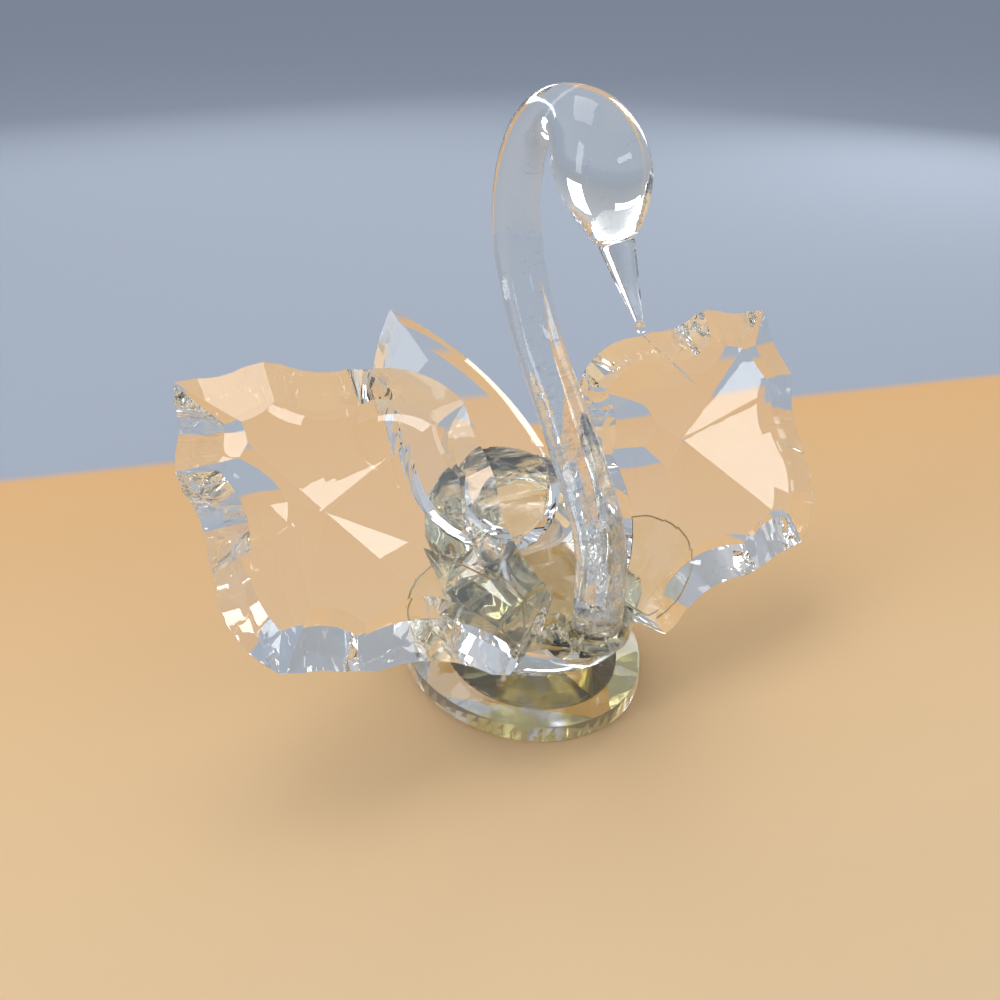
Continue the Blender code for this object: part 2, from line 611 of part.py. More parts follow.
def build():
    """Make every piece of the swan in place."""
    for obj in list(bpy.data.objects):
        bpy.data.objects.remove(obj, do_unlink=True)
    swan = collection("crystal swan")
    cutters = collection("swan cutters")
    crystal = material("lead crystal", (0.93, 0.96, 0.96), 0.02)
    lampwork = material("lampworked glass", (0.95, 0.96, 0.95), 0.02, ior=1.5)
    glue = material("yellowed clear glue", (0.72, 0.66, 0.26), 0.15, 0.8, 1.5)

    foot = oval("foot_plate", FOOT_HALF_WIDTH, FOOT_HALF_LENGTH, 0.0, FOOT_THICKNESS, 0.0, swan, crystal)
    edge = foot.modifiers.new("Bevel", "BEVEL")
    edge.width = FOOT_BEVEL
    edge.segments = 1
    edge.limit_method = "WEIGHT"
    weights = foot.data.attributes.new("bevel_weight_edge", "FLOAT", "EDGE")
    for e in foot.data.edges:
        ends = [foot.data.vertices[i].co.z for i in e.vertices]
        weights.data[e.index].value = 1.0 if min(ends) > FOOT_THICKNESS * 0.9 else 0.0
    shade(foot)

    pad_low = FOOT_THICKNESS + SEAT_GAP
    pad_front = FOOT_HALF_LENGTH - FOOT_GLUE_FRONT_MARGIN
    pad_back = FOOT_HALF_LENGTH - FOOT_GLUE_BACK_MARGIN
    pad = oval("foot_adhesive", FOOT_HALF_WIDTH - FOOT_GLUE_SIDE_MARGIN, (pad_front + pad_back) / 2,
               pad_low, pad_low + GLUE_THICKNESS, (pad_back - pad_front) / 2, swan, glue)
    shade(pad)

    wheels = collection("leaf wheels")
    leaf_cutters(wheels)
    right_seat = (RIGHT_WING_INSET, RIGHT_WING_SETBACK, RIGHT_WING_DROP)
    left_seat = (LEFT_WING_INSET, LEFT_WING_SETBACK, LEFT_WING_DROP)
    right_star = (RIGHT_WING_STAR_FROM_TIP, RIGHT_WING_STAR_OFFSIDE)
    left_star = (LEFT_WING_STAR_FROM_TIP, LEFT_WING_STAR_OFFSIDE)
    wings = (("right_wing", right_seat, right_star, RIGHT_WING_TURN, RIGHT_WING_LIFT, RIGHT_WING_ROLL, -1),
             ("left_wing", left_seat, left_star, LEFT_WING_TURN, LEFT_WING_LIFT, LEFT_WING_ROLL, 1))
    seats = []
    films = []
    for name, place, star, turn, lift, roll, side in wings:
        pose = leaf_pose(place, turn, lift, roll, side)
        wing = add_object(name, leaf_mesh(*star, wheels, cutters), swan, crystal)
        wing.matrix_world = pose
        seats.append((pose, LEAF_BACK, -SEAT_GAP))
        films.append((name, pose, LEAF_BACK, wing_glue_outline()))

    outline = tail_outline()
    middle = Vector((TAIL_ROUND, 0.0))
    tail_blank = tapered_prism(outline, middle, TAIL_GIRDLE, math.radians(TAIL_RIM_SLOPE), "tail_leaf")
    tail = add_object("tail_leaf", tail_blank, swan, crystal)
    tail_roof = star_roof(tail_rays(outline), tail_star(), TAIL_FACE_HEIGHT, TAIL_STAR_HEIGHT,
                          TAIL_BACK, "tail_roof")
    roof = as_cutter(add_object("tail_roof", tail_roof, cutters))
    tail.matrix_world = roof.matrix_world = tail_pose()
    boolean(tail, "INTERSECT", tool=roof)
    seats.append((tail_pose(), TAIL_BACK, -TAIL_SEAT_OVERRUN))
    films.append(("tail_leaf", tail_pose(), TAIL_BACK, tail_glue_outline()))

    body = add_object("body_block", body_blank("body_block"), swan, crystal)
    for pose, back, start in seats:
        grind_seat(body, cutters, pose, back, start)
    seat = disc("neck_seat", NECK_GLUE_RADIUS + NECK_SEAT_ROOM, NECK_SEAT_Z, NECK_SEAT_Z + BODY_HEIGHT,
                (0.0, NECK_FOOT_Y), cutters)
    boolean(body, "DIFFERENCE", tool=as_cutter(seat))
    shade(body)

    for name, pose, back, outline in films:
        glue_film(name + "_adhesive", cutters, pose, back, outline, swan, glue)

    neck(swan, lampwork)
    neck_glue(swan, glue)


build()
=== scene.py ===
# Cut-glass swan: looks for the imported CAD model. Everything is in metres, in the CAD's own frame.
import math
import random

import bmesh
import bpy
from mathutils import Matrix, Vector


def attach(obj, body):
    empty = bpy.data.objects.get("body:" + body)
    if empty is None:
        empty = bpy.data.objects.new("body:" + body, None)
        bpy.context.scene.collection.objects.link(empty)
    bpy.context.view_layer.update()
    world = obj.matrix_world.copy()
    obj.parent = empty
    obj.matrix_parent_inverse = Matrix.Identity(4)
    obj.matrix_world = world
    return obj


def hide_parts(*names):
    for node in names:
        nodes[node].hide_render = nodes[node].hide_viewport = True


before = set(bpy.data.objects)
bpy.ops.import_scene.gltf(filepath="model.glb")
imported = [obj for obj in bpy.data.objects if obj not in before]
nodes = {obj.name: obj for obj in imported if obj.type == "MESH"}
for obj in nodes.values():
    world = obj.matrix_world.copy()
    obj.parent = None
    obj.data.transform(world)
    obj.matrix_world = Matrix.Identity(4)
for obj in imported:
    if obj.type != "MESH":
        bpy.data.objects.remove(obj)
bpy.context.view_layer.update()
scene = bpy.context.scene
print("frame loaded:", len(nodes), "nodes")


def hexToLinear(code):  # sRGB hex to the linear colour that shaders use
    values = [int(code[i:i + 2], 16) / 255 for i in (1, 3, 5)]
    linear = [v / 12.92 if v <= 0.04045 else ((v + 0.055) / 1.055) ** 2.4 for v in values]
    return (*linear, 1.0)


def addNode(mat, kind, settings=None, inputs=None, links=None):  # one node, its settings and its links
    tree = mat.node_tree
    node = tree.nodes.new(kind)
    for key, value in (settings or {}).items():
        setattr(node, key, value)
    for key, value in (inputs or {}).items():
        node.inputs[key].default_value = value
    for key, socket in (links or {}).items():
        tree.links.new(socket, node.inputs[key])
    return node


def newMaterial(name):
    mat = bpy.data.materials.new(name)
    mat.use_nodes = True
    mat.node_tree.nodes.clear()
    return mat


def finishMaterial(mat, surface):
    out = addNode(mat, "ShaderNodeOutputMaterial", links={"Surface": surface})
    mat.node_tree.nodes.active = out
    return mat


# Camera: where the photograph was taken from

camera = {
    "azimuth": -32.49, "elevation": 31.27, "roll": 0.20,  # degrees
    "distance": 0.24609, "sideStep": -0.005485, "aimHeight": 0.04955,
    "focalPixels": 960.3, "imagePixels": 1000, "sensor": 36.0,
}


def placeCamera(spec):
    a, e, r = (math.radians(spec[k]) for k in ("azimuth", "elevation", "roll"))
    back = Vector((math.sin(a) * math.cos(e), -math.cos(a) * math.cos(e), math.sin(e)))
    level = Vector((math.cos(a), math.sin(a), 0.0))
    up = back.cross(level)
    right = level * math.cos(r) + up * math.sin(r)
    up = back.cross(right)
    aim = level * spec["sideStep"] + Vector((0, 0, spec["aimHeight"]))
    data = bpy.data.cameras.new("camera")
    data.sensor_width = spec["sensor"]
    data.lens = spec["focalPixels"] * spec["sensor"] / spec["imagePixels"]
    data.clip_start = 0.005
    cam = bpy.data.objects.new("camera", data)
    scene.collection.objects.link(cam)
    cam.matrix_world = Matrix.Translation(aim + back * spec["distance"]) @ Matrix((right, up, back)).transposed().to_4x4()
    scene.camera = cam


placeCamera(camera)
print("camera placed")


# Lead crystal: cut on stone wheels, then polished with felt, so the facets are flat, bright and
# hard-edged. Seen close it has slow polishing waves and a thin scatter of dust specks.

crystal = {
    "tint": "#fbfdfd", "ior": 1.72, "bodyIor": 1.545, "roughness": 0.0,  # the leaves bend light like the heaviest lead glass
    "waveMm": 6.0, "waveStrength": 0.10, "waveHeight": 0.00003,
    "rippleMm": 4.0, "rippleHeight": 0.00005, "rippleRadiusMm": 34.0,
    "dustMm": 0.45, "dustFrom": 0.87, "bodyHaze": 0.0, "dustColour": "#dfe6ea",
    # the pale ridge colour is partly a painted highlight along each rubbed ridge
    "angle": 3.5, "fluteTilt": 15.5, "fluteAngle": 13.0, "ridgeWidth": 0.00022, "ridgeHighlightColour": "#f2f6f8", "tailAngle": 4.5, "tailRimTilt": 18.0, "tailRimAngle": 9.0,
}


def dusted(mat, place, glass, spec):  # specks of dust and small scratches, lit white on the clear glass
    grain = addNode(mat, "ShaderNodeTexNoise", inputs={"Scale": 1000 / spec["dustMm"], "Detail": 3.0, "Roughness": 0.65},
                    links={"Vector": place})
    patch = addNode(mat, "ShaderNodeTexNoise", inputs={"Scale": 1000 / (spec["dustMm"] * 22), "Detail": 1.0},
                    links={"Vector": place})
    both = addNode(mat, "ShaderNodeMath", {"operation": "MULTIPLY_ADD", "use_clamp": True}, {1: 0.72},
                   {0: grain.outputs["Fac"], 2: addNode(mat, "ShaderNodeMath", {"operation": "MULTIPLY"}, {1: 0.55},
                                                        {0: patch.outputs["Fac"]}).outputs["Value"]})
    share = addNode(mat, "ShaderNodeMapRange", {"interpolation_type": "SMOOTHSTEP"},
                    {"From Min": spec["dustFrom"], "From Max": spec["dustFrom"] + 0.08, "To Max": 0.35},
                    {"Value": both.outputs["Value"]})
    dust = addNode(mat, "ShaderNodeBsdfDiffuse", inputs={"Color": hexToLinear(spec["dustColour"])})
    mix = addNode(mat, "ShaderNodeMixShader", inputs={}, links={0: share.outputs["Result"], 1: glass, 2: dust.outputs["BSDF"]})
    return mix.outputs["Shader"]


def leadCrystal(spec, name, ior, haze=0.0, height=None, strength=None, far=None):
    mat = newMaterial(name)
    place = addNode(mat, "ShaderNodeTexCoord").outputs["Object"]
    if height:
        uneven = height(mat, place)
    else:
        uneven = addNode(mat, "ShaderNodeTexNoise", inputs={"Scale": 1000 / spec["waveMm"], "Detail": 2.0},
                         links={"Vector": place}).outputs["Fac"]
    bump = addNode(mat, "ShaderNodeBump", inputs={"Strength": strength or spec["waveStrength"],
                                                  "Distance": far or spec["waveHeight"]}, links={"Height": uneven})
    glass = addNode(mat, "ShaderNodeBsdfPrincipled",
                    inputs={"Base Color": hexToLinear(spec["tint"]), "Roughness": spec["roughness"],
                            "IOR": ior, "Transmission Weight": 1.0},
                    links={"Normal": bump.outputs["Normal"]})
    surface = dusted(mat, place, glass.outputs["BSDF"], spec)
    if haze:
        film = addNode(mat, "ShaderNodeBsdfDiffuse", inputs={"Color": hexToLinear(spec["dustColour"])})
        surface = addNode(mat, "ShaderNodeMixShader", inputs={0: haze}, links={1: surface, 2: film.outputs["BSDF"]}).outputs["Shader"]
    return finishMaterial(mat, surface)


leafGlass = leadCrystal(crystal, "lead crystal, cut and felt-polished", crystal["ior"])
bodyGlass = leadCrystal(crystal, "lead crystal, ground and polished round", crystal["bodyIor"], crystal["bodyHaze"])
ridgeHighlightGlass = newMaterial("lead crystal, rubbed ridge with painted highlight")  # the rubbed ridge is partly frosted by wear, and its pale colour is a painted highlight that draws a fine bright line
finishMaterial(ridgeHighlightGlass, addNode(ridgeHighlightGlass, "ShaderNodeBsdfPrincipled",
                                   inputs={"Base Color": hexToLinear(crystal["ridgeHighlightColour"]), "Roughness": 0.35,
                                           "IOR": crystal["ior"], "Transmission Weight": 0.35}).outputs["BSDF"])


def flutedCrystal(spec, name, middle, plane):  # the wheel chatters across each flute, which draws fine bright stripes
    turn = plane.to_track_quat("Z", "Y").to_euler()

    def ripple(mat, place):
        flat = addNode(mat, "ShaderNodeMapping", {"vector_type": "TEXTURE"}, {"Location": middle, "Rotation": turn}, {"Vector": place})
        part = addNode(mat, "ShaderNodeSeparateXYZ", links={"Vector": flat.outputs["Vector"]})
        around = addNode(mat, "ShaderNodeMath", {"operation": "ARCTAN2"}, links={0: part.outputs["Y"], 1: part.outputs["X"]})
        return addNode(mat, "ShaderNodeTexNoise", {"noise_dimensions": "1D"},
                       {"Scale": spec["rippleRadiusMm"] / spec["rippleMm"], "Detail": 0.0},
                       {"W": around.outputs["Value"]}).outputs["Fac"]

    return leadCrystal(spec, name, spec["ior"], 0.0, ripple, 1.0, spec["rippleHeight"])


# The foot is the same crystal, dulled by handling and brightened by a painted white sheen, with yellow glue smeared
# over its front half

footLook = {"smear": "#dcc458", "smearMm": 9.0, "smearFrontY": -0.010, "haze": 0.13, "hazeAndSheenColour": "#dfe4e6"}


def smearedFoot(spec, glassSpec):
    mat = newMaterial("lead crystal foot, handled, with smeared epoxy")
    place = addNode(mat, "ShaderNodeTexCoord").outputs["Object"]
    blotch = addNode(mat, "ShaderNodeTexNoise", inputs={"Scale": 1000 / spec["smearMm"], "Detail": 3.0, "Roughness": 0.6},
                     links={"Vector": place})
    depth = addNode(mat, "ShaderNodeSeparateXYZ", links={"Vector": place}).outputs["Y"]
    front = addNode(mat, "ShaderNodeMapRange", {"interpolation_type": "SMOOTHSTEP"},
                    {"From Min": spec["smearFrontY"], "From Max": spec["smearFrontY"] - 0.008, "To Max": 0.20}, {"Value": depth})
    level = addNode(mat, "ShaderNodeMath", {"operation": "ADD"}, links={0: blotch.outputs["Fac"], 1: front.outputs["Result"]})
    where = addNode(mat, "ShaderNodeMapRange", {"interpolation_type": "SMOOTHSTEP"},
                    {"From Min": 0.57, "From Max": 0.66}, {"Value": level.outputs["Value"]})
    colour = addNode(mat, "ShaderNodeMix", {"data_type": "RGBA"},
                     {"A": hexToLinear(glassSpec["tint"]), "B": hexToLinear(spec["smear"])}, {"Factor": where.outputs["Result"]})
    glass = addNode(mat, "ShaderNodeBsdfPrincipled",
                    inputs={"Roughness": 0.02, "IOR": glassSpec["bodyIor"], "Transmission Weight": 1.0},
                    links={"Base Color": colour.outputs["Result"]})
    # a white diffuse layer: partly handling haze, partly a painted sheen standing in for light reflected in the foot
    haze = addNode(mat, "ShaderNodeBsdfDiffuse", inputs={"Color": hexToLinear(spec["hazeAndSheenColour"])})
    mix = addNode(mat, "ShaderNodeMixShader", inputs={0: spec["haze"]}, links={1: glass.outputs["BSDF"], 2: haze.outputs["BSDF"]})
    return finishMaterial(mat, mix.outputs["Shader"])


footGlass = smearedFoot(footLook, crystal)

# Soda glass, drawn as a rod and bent in the flame: it has a fire-polished skin that is a little
# uneven round the rod, with fine seeds and cords drawn out along it.

lampwork = {
    "tint": "#fbfdfd", "ior": 1.51, "roughness": 0.0,
    "cordMm": (1.1, 1.1, 16.0), "cordStrength": 0.13, "cordHeight": 0.00016,
    "streakMm": (0.75, 0.75, 2.6), "streakColour": "#cfdcec", "streakLow": 0.022, "streakHigh": 0.118,
    "subdivisions": 2, "crease": 30.0,
}


def drawnGlass(spec):
    mat = newMaterial("soda glass, drawn and lampworked")
    place = addNode(mat, "ShaderNodeTexCoord").outputs["Object"]
    along = addNode(mat, "ShaderNodeMapping", inputs={"Scale": [1000 / mm for mm in spec["cordMm"]]}, links={"Vector": place})
    cord = addNode(mat, "ShaderNodeTexNoise", inputs={"Scale": 1.0, "Detail": 1.5}, links={"Vector": along.outputs["Vector"]})
    bump = addNode(mat, "ShaderNodeBump", inputs={"Strength": spec["cordStrength"], "Distance": spec["cordHeight"]},
                   links={"Height": cord.outputs["Fac"]})
    glass = addNode(mat, "ShaderNodeBsdfPrincipled",
                    inputs={"Base Color": hexToLinear(spec["tint"]), "Roughness": spec["roughness"],
                            "IOR": spec["ior"], "Transmission Weight": 1.0},
                    links={"Normal": bump.outputs["Normal"]})
    # pale blue-white streaks stretched along the rod, only on its straight lower two thirds
    fine = addNode(mat, "ShaderNodeMapping", inputs={"Scale": [1000 / mm for mm in spec["streakMm"]]}, links={"Vector": place})
    streak = addNode(mat, "ShaderNodeTexNoise", inputs={"Scale": 1.0, "Detail": 4.0, "Roughness": 0.7},
                     links={"Vector": fine.outputs["Vector"]})
    height = addNode(mat, "ShaderNodeSeparateXYZ", links={"Vector": place}).outputs["Z"]
    rise = addNode(mat, "ShaderNodeMapRange", {"interpolation_type": "SMOOTHSTEP"},
                   {"From Min": spec["streakHigh"], "From Max": spec["streakLow"] + 0.03, "To Max": 0.19}, {"Value": height})
    level = addNode(mat, "ShaderNodeMath", {"operation": "ADD"}, links={0: streak.outputs["Fac"], 1: rise.outputs["Result"]})
    share = addNode(mat, "ShaderNodeMapRange", {"interpolation_type": "SMOOTHSTEP"},
                    {"From Min": 0.59, "From Max": 0.78, "To Max": 0.45}, {"Value": level.outputs["Value"]})
    paleStreak = addNode(mat, "ShaderNodeBsdfPrincipled", inputs={"Base Color": hexToLinear(spec["streakColour"]), "Roughness": 0.25})
    mix = addNode(mat, "ShaderNodeMixShader", links={0: share.outputs["Result"], 1: glass.outputs["BSDF"], 2: paleStreak.outputs["BSDF"]})
    return finishMaterial(mat, mix.outputs["Shader"])


drawn = drawnGlass(lampwork)

# Epoxy, clear when it was mixed and yellowed since. It wets both faces, so a joint shows as a
# clear yellowish window, amber at its edge where the light runs along the film.

adhesive = {
    "tint": "#fbf9ea", "rimTint": "#e9c75c", "cupTint": "#eed596", "footTint": "#faf5d8", "clearTint": "#fefdf8", "ior": 1.53, "roughness": 0.02,
    "wet": 0.00034, "blotchMm": 7.0, "paleTint": "#fbf8e4",
}


def agedAdhesive(spec, tint, name, clear=1.0):
    mat = newMaterial(name)
    place = addNode(mat, "ShaderNodeTexCoord").outputs["Object"]
    blotch = addNode(mat, "ShaderNodeTexNoise", inputs={"Scale": 1000 / spec["blotchMm"], "Detail": 3.0}, links={"Vector": place})
    where = addNode(mat, "ShaderNodeMapRange", {"interpolation_type": "SMOOTHSTEP"},
                    {"From Min": 0.42, "From Max": 0.62}, {"Value": blotch.outputs["Fac"]})
    colour = addNode(mat, "ShaderNodeMix", {"data_type": "RGBA"},
                     {"A": hexToLinear(spec[tint]), "B": hexToLinear(spec["paleTint"])}, {"Factor": where.outputs["Result"]})
    glue = addNode(mat, "ShaderNodeBsdfPrincipled",
                   inputs={"Roughness": spec["roughness"], "IOR": spec["ior"], "Transmission Weight": clear},
                   links={"Base Color": colour.outputs["Result"]})
    return finishMaterial(mat, glue.outputs["BSDF"])


film = agedAdhesive(adhesive, "tint", "epoxy film, aged yellow")
filmRim = agedAdhesive(adhesive, "rimTint", "epoxy film edge, aged amber", 0.35)
clearFilm = agedAdhesive(adhesive, "clearTint", "epoxy film, still clear")
footFilm = agedAdhesive(adhesive, "footTint", "epoxy film under the body, aged olive yellow")
cupGlue = agedAdhesive(adhesive, "cupTint", "epoxy cup, aged amber")
# the bubbles are opaque and near-white: the colour is a painted reflection in place of the glint of an air pocket
seedGlass = newMaterial("trapped air bubble, painted white as its reflection")
finishMaterial(seedGlass, addNode(seedGlass, "ShaderNodeBsdfPrincipled",
                                  inputs={"Base Color": hexToLinear("#f4f2e6"), "Roughness": 0.12}).outputs["BSDF"])

for name, node in nodes.items():
    mat = film if "adhesive" in name else drawn if name == "neck_and_head" else bodyGlass
    for slot in node.material_slots:
        slot.material = mat
print("materials made")


def mergedCopy(name):  # a CAD node's triangles, joined up; the node itself is left alone
    bm = bmesh.new()
    bm.from_mesh(nodes[name].data)
    bmesh.ops.remove_doubles(bm, verts=bm.verts, dist=0.000005)
    bmesh.ops.dissolve_degenerate(bm, edges=bm.edges, dist=0.000002)
    bm.normal_update()
    return bm


def isRidge(e, plane, spec):  # a flute is a smooth hollow between hard ridges, while the star is all hard edges
    if len(e.link_faces) != 2:
        return False
    lean = min(min(f.normal.angle(plane), f.normal.angle(-plane)) for f in e.link_faces)
    limit = spec["fluteAngle"] if lean > math.radians(spec["fluteTilt"]) else spec["angle"]
    return e.calc_face_angle() > math.radians(limit)


def easeRidges(bm, plane, spec):  # felt takes the very edge off each ridge; the narrow strip gets the pale ridge material, a painted highlight that shows as a bright line
    bmesh.ops.dissolve_limit(bm, angle_limit=0.004, use_dissolve_boundaries=False, verts=bm.verts, edges=bm.edges)
    ridges = [e for e in bm.edges if isRidge(e, plane, spec)]
    bmesh.ops.bevel(bm, geom=ridges, offset=spec["ridgeWidth"], offset_type="OFFSET", affect="EDGES", segments=1,
                    profile=0.5, material=1, clamp_overlap=True)
    bmesh.ops.triangulate(bm, faces=bm.faces)
    bmesh.ops.remove_doubles(bm, verts=bm.verts, dist=0.000002)
    bm.normal_update()
    return bm


def addPiece(name, bm, mats, replaced=None):
    mesh = bpy.data.meshes.new(name)
    bm.to_mesh(mesh)
    bm.free()
    for mat in mats:
        mesh.materials.append(mat)
    mesh.shade_smooth()
    obj = bpy.data.objects.new(name, mesh)
    scene.collection.objects.link(obj)
    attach(obj, "root")
    if replaced:
        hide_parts(replaced)
    return obj


def evenNormals(obj):  # large faces rule the shading, so slivers left by the wheels don't show
    weigh = obj.modifiers.new("Weighted normals", "WEIGHTED_NORMAL")
    weigh.keep_sharp = True
    weigh.weight = 50


# Wings: the flutes are smooth hollows, the star facets flat, with hard ridges between them

for side in ("right", "left"):
    bm = mergedCopy(side + "_wing")
    middle = sum((v.co for v in bm.verts), Vector()) / len(bm.verts)
    plane = max(bm.faces, key=lambda f: f.calc_area()).normal.copy()
    bm = easeRidges(bm, plane, crystal)
    for e in bm.edges:
        e.smooth = not isRidge(e, plane, crystal)
    for f in bm.faces:
        tilt = min(f.normal.angle(plane), f.normal.angle(-plane))
        if f.material_index == 0 and tilt > math.radians(crystal["fluteTilt"]):
            f.material_index = 2
    fluted = flutedCrystal(crystal, "lead crystal, wheel-cut flutes, " + side, middle, plane)
    wing = addPiece(side + "_wing_glass", bm, [leafGlass, ridgeHighlightGlass, fluted], side + "_wing")
    evenNormals(wing)

# Tail: its rim runs smoothly round, while the star keeps its rays


def smoothRim(bm, spec):
    plane = max(bm.faces, key=lambda f: f.calc_area()).normal.copy()
    limits = (math.radians(spec["tailAngle"]), math.radians(spec["tailRimTilt"]), math.radians(spec["tailRimAngle"]))
    for e in bm.edges:
        if len(e.link_faces) == 2:
            tilts = [min(f.normal.angle(plane), f.normal.angle(-plane)) for f in e.link_faces]
            allowed = limits[2] if min(tilts) > limits[1] else limits[0]
            e.smooth = e.calc_face_angle() < allowed
    return bm


tail = addPiece("tail_glass", smoothRim(mergedCopy("tail_leaf"), crystal), [leafGlass], "tail_leaf")
evenNormals(tail)

# Body block and foot: ground round, with sharp edges only where the seats were ground flat

for name in ("body_block", "foot_plate"):
    part = addPiece(name + "_glass", mergedCopy(name), [bodyGlass if name == "body_block" else footGlass], name)
    part.data.set_sharp_from_angle(angle=math.radians(24))

# Neck, head and beak: the rod's own rings, rounded off


def softenRod(spec):
    bm = mergedCopy("neck_and_head")
    bmesh.ops.join_triangles(bm, faces=bm.faces, angle_face_threshold=0.6, angle_shape_threshold=0.8)
    crease = bm.edges.layers.float.new("crease_edge")
    for e in bm.edges:
        if len(e.link_faces) == 2 and e.calc_face_angle() > math.radians(spec["crease"]):
            e[crease] = 0.7
    rod = addPiece("neck_and_head_glass", bm, [drawn], "neck_and_head")
    finer = rod.modifiers.new("Subdivision", "SUBSURF")
    finer.levels = finer.render_levels = spec["subdivisions"]


softenRod(lampwork)
print("glass pieces smoothed")

# Glue films: each reaches a hair into the glass above and below it, as glue that wets both does


def wetFilm(name, spec):
    bm = mergedCopy(name)
    broad = max(bm.faces, key=lambda f: f.calc_area()).normal.copy()
    middle = sum((v.co for v in bm.verts), Vector()) / len(bm.verts)
    for side in (1, -1):
        skin = [v for v in bm.verts if side * (v.co - middle).dot(broad) > 0]
        bmesh.ops.translate(bm, verts=skin, vec=broad * side * spec["wet"])
    bm.normal_update()
    for f in bm.faces:
        f.material_index = 0 if abs(f.normal.dot(broad)) > 0.7 else 1
    rim = [e for e in bm.edges if len(e.link_faces) == 2 and e.calc_face_angle() > 0.9]
    points = [(e.verts[0].co.lerp(e.verts[1].co, k / 8), e.calc_length()) for e in rim for k in range(8)]
    piece = addPiece(name + "_film", bm, looks[name], name)
    piece.data.set_sharp_from_angle(angle=math.radians(30))
    return points, broad


looks = {"foot_adhesive": [footFilm, footFilm], "tail_leaf_adhesive": [clearFilm, clearFilm],
         "right_wing_adhesive": [film, filmRim], "left_wing_adhesive": [film, filmRim]}
films = {name: wetFilm(name, adhesive) for name in nodes if "adhesive" in name and name != "neck_adhesive"}

# Neck glue: fills the pit round the rod's foot and climbs a little way up the rod

neckCup = {"pit": 0.0079, "overlap": 0.00004, "lift": 0.0036, "steps": 64}


def fillCup(spec, glueSpec):
    box = [nodes["neck_adhesive"].data.vertices[i].co for i in range(len(nodes["neck_adhesive"].data.vertices))]
    low = min(v.z for v in box) - glueSpec["wet"]
    axisY = (max(v.y for v in box) + min(v.y for v in box)) / 2
    rod = [v.co for v in nodes["neck_and_head"].data.vertices if v.co.z < low + 0.012]
    foot = min(v.z for v in rod)
    radius = max(abs(v.x) for v in rod)
    bm = bmesh.new()
    inner = radius - spec["overlap"]
    profile = [(0, low), (spec["pit"] - 0.0012, low), (spec["pit"] - 0.0003, low + 0.0005), (spec["pit"], low + 0.0014),
               (spec["pit"] - 0.0002, low + 0.0026), (spec["pit"] - 0.0010, low + spec["lift"]), (inner, low + spec["lift"] + 0.0009),
               (inner - 0.0003, foot + 0.0024), (0.0046, foot + 0.0005), (0.0026, foot + spec["overlap"]), (0, foot + spec["overlap"])]
    verts = [bm.verts.new((r, 0, z)) for r, z in profile]
    edges = [bm.edges.new(pair) for pair in zip(verts, verts[1:])]
    bmesh.ops.spin(bm, geom=verts + edges, axis=(0, 0, 1), cent=(0, 0, 0), angle=2 * math.pi, steps=spec["steps"], use_merge=True)
    bmesh.ops.remove_doubles(bm, verts=bm.verts, dist=0.000005)
    bmesh.ops.recalc_face_normals(bm, faces=bm.faces)
    bmesh.ops.translate(bm, verts=bm.verts, vec=(0, axisY, 0))
    cup = addPiece("neck_adhesive_cup", bm, [cupGlue], "neck_adhesive")
    cup.data.set_sharp_from_angle(angle=math.radians(50))


fillCup(neckCup, adhesive)

# Squeezed-out glue: on the back of each wing it spread past the body block and set in an amber line

spreads = {
    "right": {"stem": (-0.0145, -0.0264, 0.0297), "turn": 48.4, "lift": 36.9, "roll": 35.8, "hand": -1,
              "outlineMm": ((1.0, 1.0), (2.5, 6.0), (10.0, 10.5), (16.8, 14.0), (26.2, 14.3), (30.2, 11.2), (31.8, 5.5),
                            (29.9, -1.5), (25.2, -4.3), (20.2, -5.3), (12.9, -6.6), (5.1, -5.0))},
    "left": {"stem": (0.0145, -0.0289, 0.0263), "turn": 62.8, "lift": 32.3, "roll": 43.0, "hand": 1,
             "outlineMm": ((2.0, -5.0), (2.0, 5.0), (10.0, 9.0), (17.5, 11.4), (22.9, 10.1), (26.6, 5.2), (27.6, -0.5),
                           (26.0, -6.4), (20.2, -10.2), (12.1, -10.0), (6.0, -7.5))},
    "leafBack": 0.0038, "overlap": 0.00008, "thickness": 0.00026, "bead": 0.0004,
}


def leafFrame(spec):
    turn, lift, roll = (math.radians(spec[k]) for k in ("turn", "lift", "roll"))
    hand = spec["hand"]
    tip = Vector((hand * math.sin(turn) * math.cos(lift), math.cos(turn) * math.cos(lift), math.sin(lift)))
    level = Vector((-hand * math.cos(turn), math.sin(turn), 0))
    inner = level * math.cos(roll) + tip.cross(level) * hand * math.sin(roll)
    front = tip.cross(inner) * hand
    return Matrix.Translation(spec["stem"]) @ Matrix((tip, front.cross(tip), front)).transposed().to_4x4()


